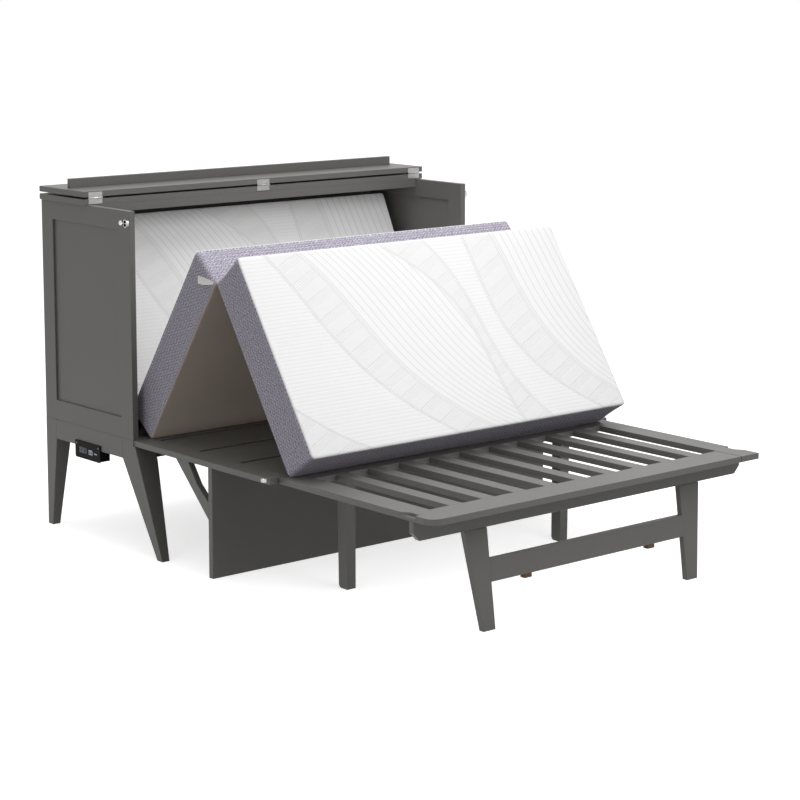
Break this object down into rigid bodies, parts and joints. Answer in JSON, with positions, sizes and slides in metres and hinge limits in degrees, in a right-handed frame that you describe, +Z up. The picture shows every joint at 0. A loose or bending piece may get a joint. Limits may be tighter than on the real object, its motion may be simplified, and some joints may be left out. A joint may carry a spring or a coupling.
{
  "type": "cabinet bed",
  "caption": "Cabinet bed: the case front folds down into a planked and slatted platform on folding legs, with a trifold mattress, a folding lid and slide latches.",
  "frame": {"origin": "middle of the open bed's footprint, on the floor", "axes": "+Z up, the foot of the bed and the front of the cabinet face -Y, +X is the right side seen from the front"},
  "size_m": [1.542, 2.07, 1.26],
  "materials": {
    "painted_wood": "satin dark grey paint",
    "bare_wood": "brown stained wood",
    "hinge_metal": "nickel plated",
    "latch_metal": "satin nickel",
    "charger_plastic": "fine matte",
    "socket_plastic": "matte",
    "mattress_cover": "white quilted knit with grey mottled borders"
  },
  "bodies": {
    "cabinet": {"side_frame_left": "painted_wood", "side_frame_right": "painted_wood", "side_infill_left": "painted_wood", "side_infill_right": "painted_wood", "side_apron_left": "painted_wood", "side_apron_right": "painted_wood", "front_leg_left": "painted_wood", "front_leg_right": "painted_wood", "back_leg_left": "painted_wood", "back_leg_right": "painted_wood", "front_apron": "painted_wood", "back_apron": "painted_wood", "back_panel": "painted_wood", "head_deck": "painted_wood", "top_board": "painted_wood", "header_rail": "painted_wood", "lid_hinge_fixed": "hinge_metal", "latch_boss_left": "latch_metal", "latch_boss_right": "latch_metal", "charger_housing": "charger_plastic", "charger_plate": "charger_plastic", "charger_sockets": "socket_plastic", "fold_hinge_fixed": "hinge_metal"},
    "lid": {"lid_board": "painted_wood", "lid_cleat": "painted_wood", "lid_hinge_moving": "hinge_metal"},
    "latch_bolt_left": {"latch_bolt_left": "latch_metal"},
    "latch_bolt_right": {"latch_bolt_right": "latch_metal"},
    "middle": {"mid_rail_left": "painted_wood", "mid_rail_right": "painted_wood", "mid_rear_rail": "painted_wood", "mid_planks": "painted_wood", "desk_panel": "painted_wood", "desk_brace_left": "painted_wood", "desk_brace_right": "painted_wood", "catch_blocks": "latch_metal", "fold_hinge_moving": "hinge_metal", "section_hinge_fixed": "hinge_metal"},
    "foot": {"foot_rail_left": "painted_wood", "foot_rail_right": "painted_wood", "foot_rear_rail": "painted_wood", "foot_slats": "painted_wood", "foot_end_board": "painted_wood", "foot_apron": "painted_wood", "section_hinge_moving": "hinge_metal", "foot_leg_hinge_fixed": "hinge_metal", "mid_leg_hinge_fixed": "hinge_metal"},
    "foot_leg_frame": {"foot_leg_left": "painted_wood", "foot_leg_right": "painted_wood", "foot_stretcher": "painted_wood", "stretcher_blocks": "bare_wood", "foot_leg_hinge_moving": "hinge_metal"},
    "mid_leg_left": {"mid_leg_left": "painted_wood", "mid_leg_hinge_left": "hinge_metal"},
    "mid_leg_right": {"mid_leg_right": "painted_wood", "mid_leg_hinge_right": "hinge_metal"},
    "mattress_head": {"mattress_head": "mattress_cover"},
    "mattress_middle": {"mattress_middle": "mattress_cover"},
    "mattress_foot": {"mattress_foot": "mattress_cover"}
  },
  "joints": [
    {"name": "lid_hinge", "type": "hinge", "parent": "cabinet", "child": "lid", "pos_m": [0, 0.736, 1.2045], "axis": [1, 0, 0], "range_deg": [0, 180]},
    {"name": "latch_slide_left", "type": "slide", "parent": "cabinet", "child": "latch_bolt_left", "axis": [0, -1, 0], "range_m": [0, 0.011]},
    {"name": "latch_slide_right", "type": "slide", "parent": "cabinet", "child": "latch_bolt_right", "axis": [0, -1, 0], "range_m": [0, 0.011]},
    {"name": "bed_fold", "type": "hinge", "parent": "cabinet", "child": "middle", "pos_m": [0, 0.476, 0.3955], "axis": [-1, 0, 0], "range_deg": [0, 90]},
    {"name": "foot_fold", "type": "hinge", "parent": "middle", "child": "foot", "pos_m": [0, -0.294, 0.3955], "axis": [-1, 0, 0], "range_deg": [0, 180]},
    {"name": "foot_leg_fold", "type": "hinge", "parent": "foot", "child": "foot_leg_frame", "pos_m": [0, -0.9274, 0.3097], "axis": [1, 0, 0], "range_deg": [0, 97.67]},
    {"name": "mid_leg_fold_left", "type": "hinge", "parent": "foot", "child": "mid_leg_left", "pos_m": [-0.4594, -0.292, 0.3714], "axis": [0, -1, 0], "range_deg": [0, 90]},
    {"name": "mid_leg_fold_right", "type": "hinge", "parent": "foot", "child": "mid_leg_right", "pos_m": [0.4594, -0.292, 0.3714], "axis": [0, 1, 0], "range_deg": [0, 90]},
    {"name": "mattress_head_lean", "type": "hinge", "parent": "cabinet", "child": "mattress_head", "pos_m": [0, 0.89829, 1.08122], "axis": [1, 0, 0], "range_deg": [0, 25.13], "deforming": ["mattress_head"]},
    {"name": "mattress_head_fold", "type": "hinge", "parent": "mattress_head", "child": "mattress_middle", "pos_m": [0, 0.58157, 0.47105], "axis": [-1, 0, 0], "range_deg": [0, 58.99], "deforming": ["mattress_middle"]},
    {"name": "mattress_foot_fold", "type": "hinge", "parent": "mattress_middle", "child": "mattress_foot", "pos_m": [0, 0.06806, 0.97789], "axis": [1, 0, 0], "range_deg": [0, 66.99], "deforming": ["mattress_foot"]}
  ],
  "couplings": [
    {"joint": "foot_leg_fold", "follows": "foot_fold", "ratio": 0.54263},
    {"joint": "mid_leg_fold_left", "follows": "foot_fold", "ratio": 0.5},
    {"joint": "mid_leg_fold_right", "follows": "foot_fold", "ratio": 0.5},
    {"joint": "mattress_head_lean", "follows": "bed_fold", "ratio": 0.27924},
    {"joint": "mattress_head_fold", "follows": "bed_fold", "ratio": 0.65549},
    {"joint": "mattress_foot_fold", "follows": "bed_fold", "ratio": 0.74429}
  ]
}
